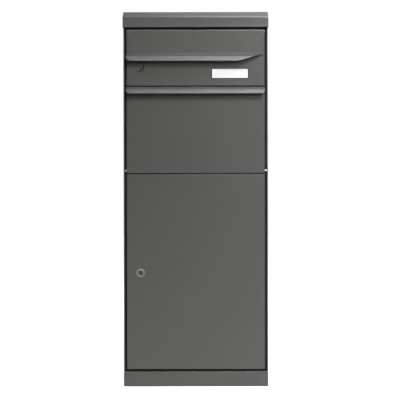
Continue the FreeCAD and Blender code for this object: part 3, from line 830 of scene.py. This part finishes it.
# =============================================================== name plate
WP = M["white_plastic"]
ob = raw(b_box(NX0 + 0.6, NX1 - 1.9, YD + 0.75, YD + 5.0, NZ0 + 0.3, NZ1 - 0.9), "nameplate_insert")
cut(ob, [cbox(NX0 + 3.0, NX1 - 3.6, YD - 1, YD + 2.6, NZ0 + 1.9, NZ1 - 2.3)])
finish_obj(ob, WP, "letter_door", ["nameplate_holder"], bevel=0.25, segs=3)
# painted shade: black rubber band behind the door around the window cut-out, a dark sheet that shows as the shadow gap
# around the plate
ob = raw(b_box(NX0 - 5, NX1 + 5, YD + T + 0.02, YD + 3.4, NZ0 - 5, NZ1 + 5), "nameplate_shade_surround")
cut(ob, [cbox(NX0 + 0.62, NX1 - 1.92, YD - 1, YD + 9, NZ0 + 0.32, NZ1 - 0.92)])
finish_obj(ob, M["rubber"], "letter_door", [], bevel=0)
obj(b_box(NX0 + 3.05, NX1 - 3.65, YD + 2.2, YD + 2.58, NZ0 + 1.95, NZ1 - 2.35), "nameplate_blank_card", M["card"], "letter_door",
    ["nameplate_card"], bevel=0.08)
obj(b_box(NX0 + 3.1, NX1 - 3.7, YD + 1.15, YD + 2.15, NZ0 + 2.0, NZ1 - 2.4), "nameplate_clear_window", M["clear_plastic"], "letter_door",
    ["nameplate_window"], bevel=0.15)

# =============================================================== stage, light, camera
bm = bmesh.new()
bmesh.ops.create_grid(bm, x_segments=8, y_segments=8, size=1.0)
for v in bm.verts:
    v.co = Vector((v.co.x * 9.0, v.co.y * 9.0 + 2.0, -0.0006))
me = bpy.data.meshes.new("studio_floor")
bm.to_mesh(me)
bm.free()
floor = bpy.data.objects.new("studio_floor", me)
COL.objects.link(floor)
fm, nt, b, tc = new_mat("pale_floor")
n = noise(nt, tc.outputs["Object"], 14, 3)
nt.links.new(mixc(nt, rng(nt, n.outputs[0], 0, 1), (0.90, 0.90, 0.90), (0.92, 0.92, 0.92)), b.inputs["Base Color"])
b.inputs["Roughness"].default_value = 0.9
b.inputs["Specular IOR Level"].default_value = 0.1
b.inputs["Emission Color"].default_value = (1, 1, 1, 1)
b.inputs["Emission Strength"].default_value = 1.0
me.materials.append(fm)
floor.visible_diffuse = False
floor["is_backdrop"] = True

w = bpy.data.worlds.new("studio")
scene.world = w
w.use_nodes = True
nt = w.node_tree
for n in list(nt.nodes):
    nt.nodes.remove(n)
wo = nt.nodes.new("ShaderNodeOutputWorld")
bg1 = nt.nodes.new("ShaderNodeBackground")
bg1.inputs[0].default_value = (1, 1, 1, 1)
bg1.inputs[1].default_value = 0.015
bg2 = nt.nodes.new("ShaderNodeBackground")
bg2.inputs[0].default_value = (1, 1, 1, 1)
bg2.inputs[1].default_value = 1.0
mx = nt.nodes.new("ShaderNodeMixShader")
lp = nt.nodes.new("ShaderNodeLightPath")
nt.links.new(lp.outputs["Is Camera Ray"], mx.inputs[0])
nt.links.new(bg1.outputs[0], mx.inputs[1])
nt.links.new(bg2.outputs[0], mx.inputs[2])
nt.links.new(mx.outputs[0], wo.inputs[0])


def area(name, loc, target, size, power, size_y=None):
    d = bpy.data.lights.new(name, "AREA")
    d.shape = "RECTANGLE"
    d.size = size
    d.size_y = size_y or size
    d.energy = power
    o = bpy.data.objects.new(name, d)
    COL.objects.link(o)
    o.location = loc
    o.rotation_euler = (Vector(target) - Vector(loc)).to_track_quat("-Z", "Y").to_euler()
    return o


key = area("key_panel", (1.7, -6.6, 6.3), (1.85, -0.15, 0.45), 2.4, 48, 2.4)
key.data.spread = math.radians(33)
area("mid_panel", (1.5, -5.2, 2.4), (0.0, -0.15, 0.55), 1.2, 74, 2.0)
area("edge_light", (2.2, -4.4, 4.2), (0.0, -0.15, 0.55), 0.5, 99, 0.5)
area("top_front", (0.3, -1.5, 4.3), (0.0, -0.15, 0.9), 1.0, 38, 0.8)

cam_d = bpy.data.cameras.new("camera")
cam = bpy.data.objects.new("camera", cam_d)
COL.objects.link(cam)
DIST, PITCH, ROLL = 3.0, -0.0032, -0.0019
right = Vector((1, 0, 0))
fwd = Vector((0, math.cos(PITCH), math.sin(PITCH)))
up = Vector((0, -math.sin(PITCH), math.cos(PITCH)))
r2 = right * math.cos(ROLL) + up * math.sin(ROLL)
u2 = up * math.cos(ROLL) - right * math.sin(ROLL)
m = Matrix((r2, u2, -fwd)).transposed().to_4x4()
m.translation = Vector((0.0116, YD * MM - DIST, 0.5224))
cam.matrix_world = m
cam_d.sensor_width = 36.0
cam_d.lens = 98.26
cam_d.clip_end = 60.0
scene.camera = cam
scene.view_settings.view_transform = "Standard"
scene.view_settings.look = "None"

lo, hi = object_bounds()
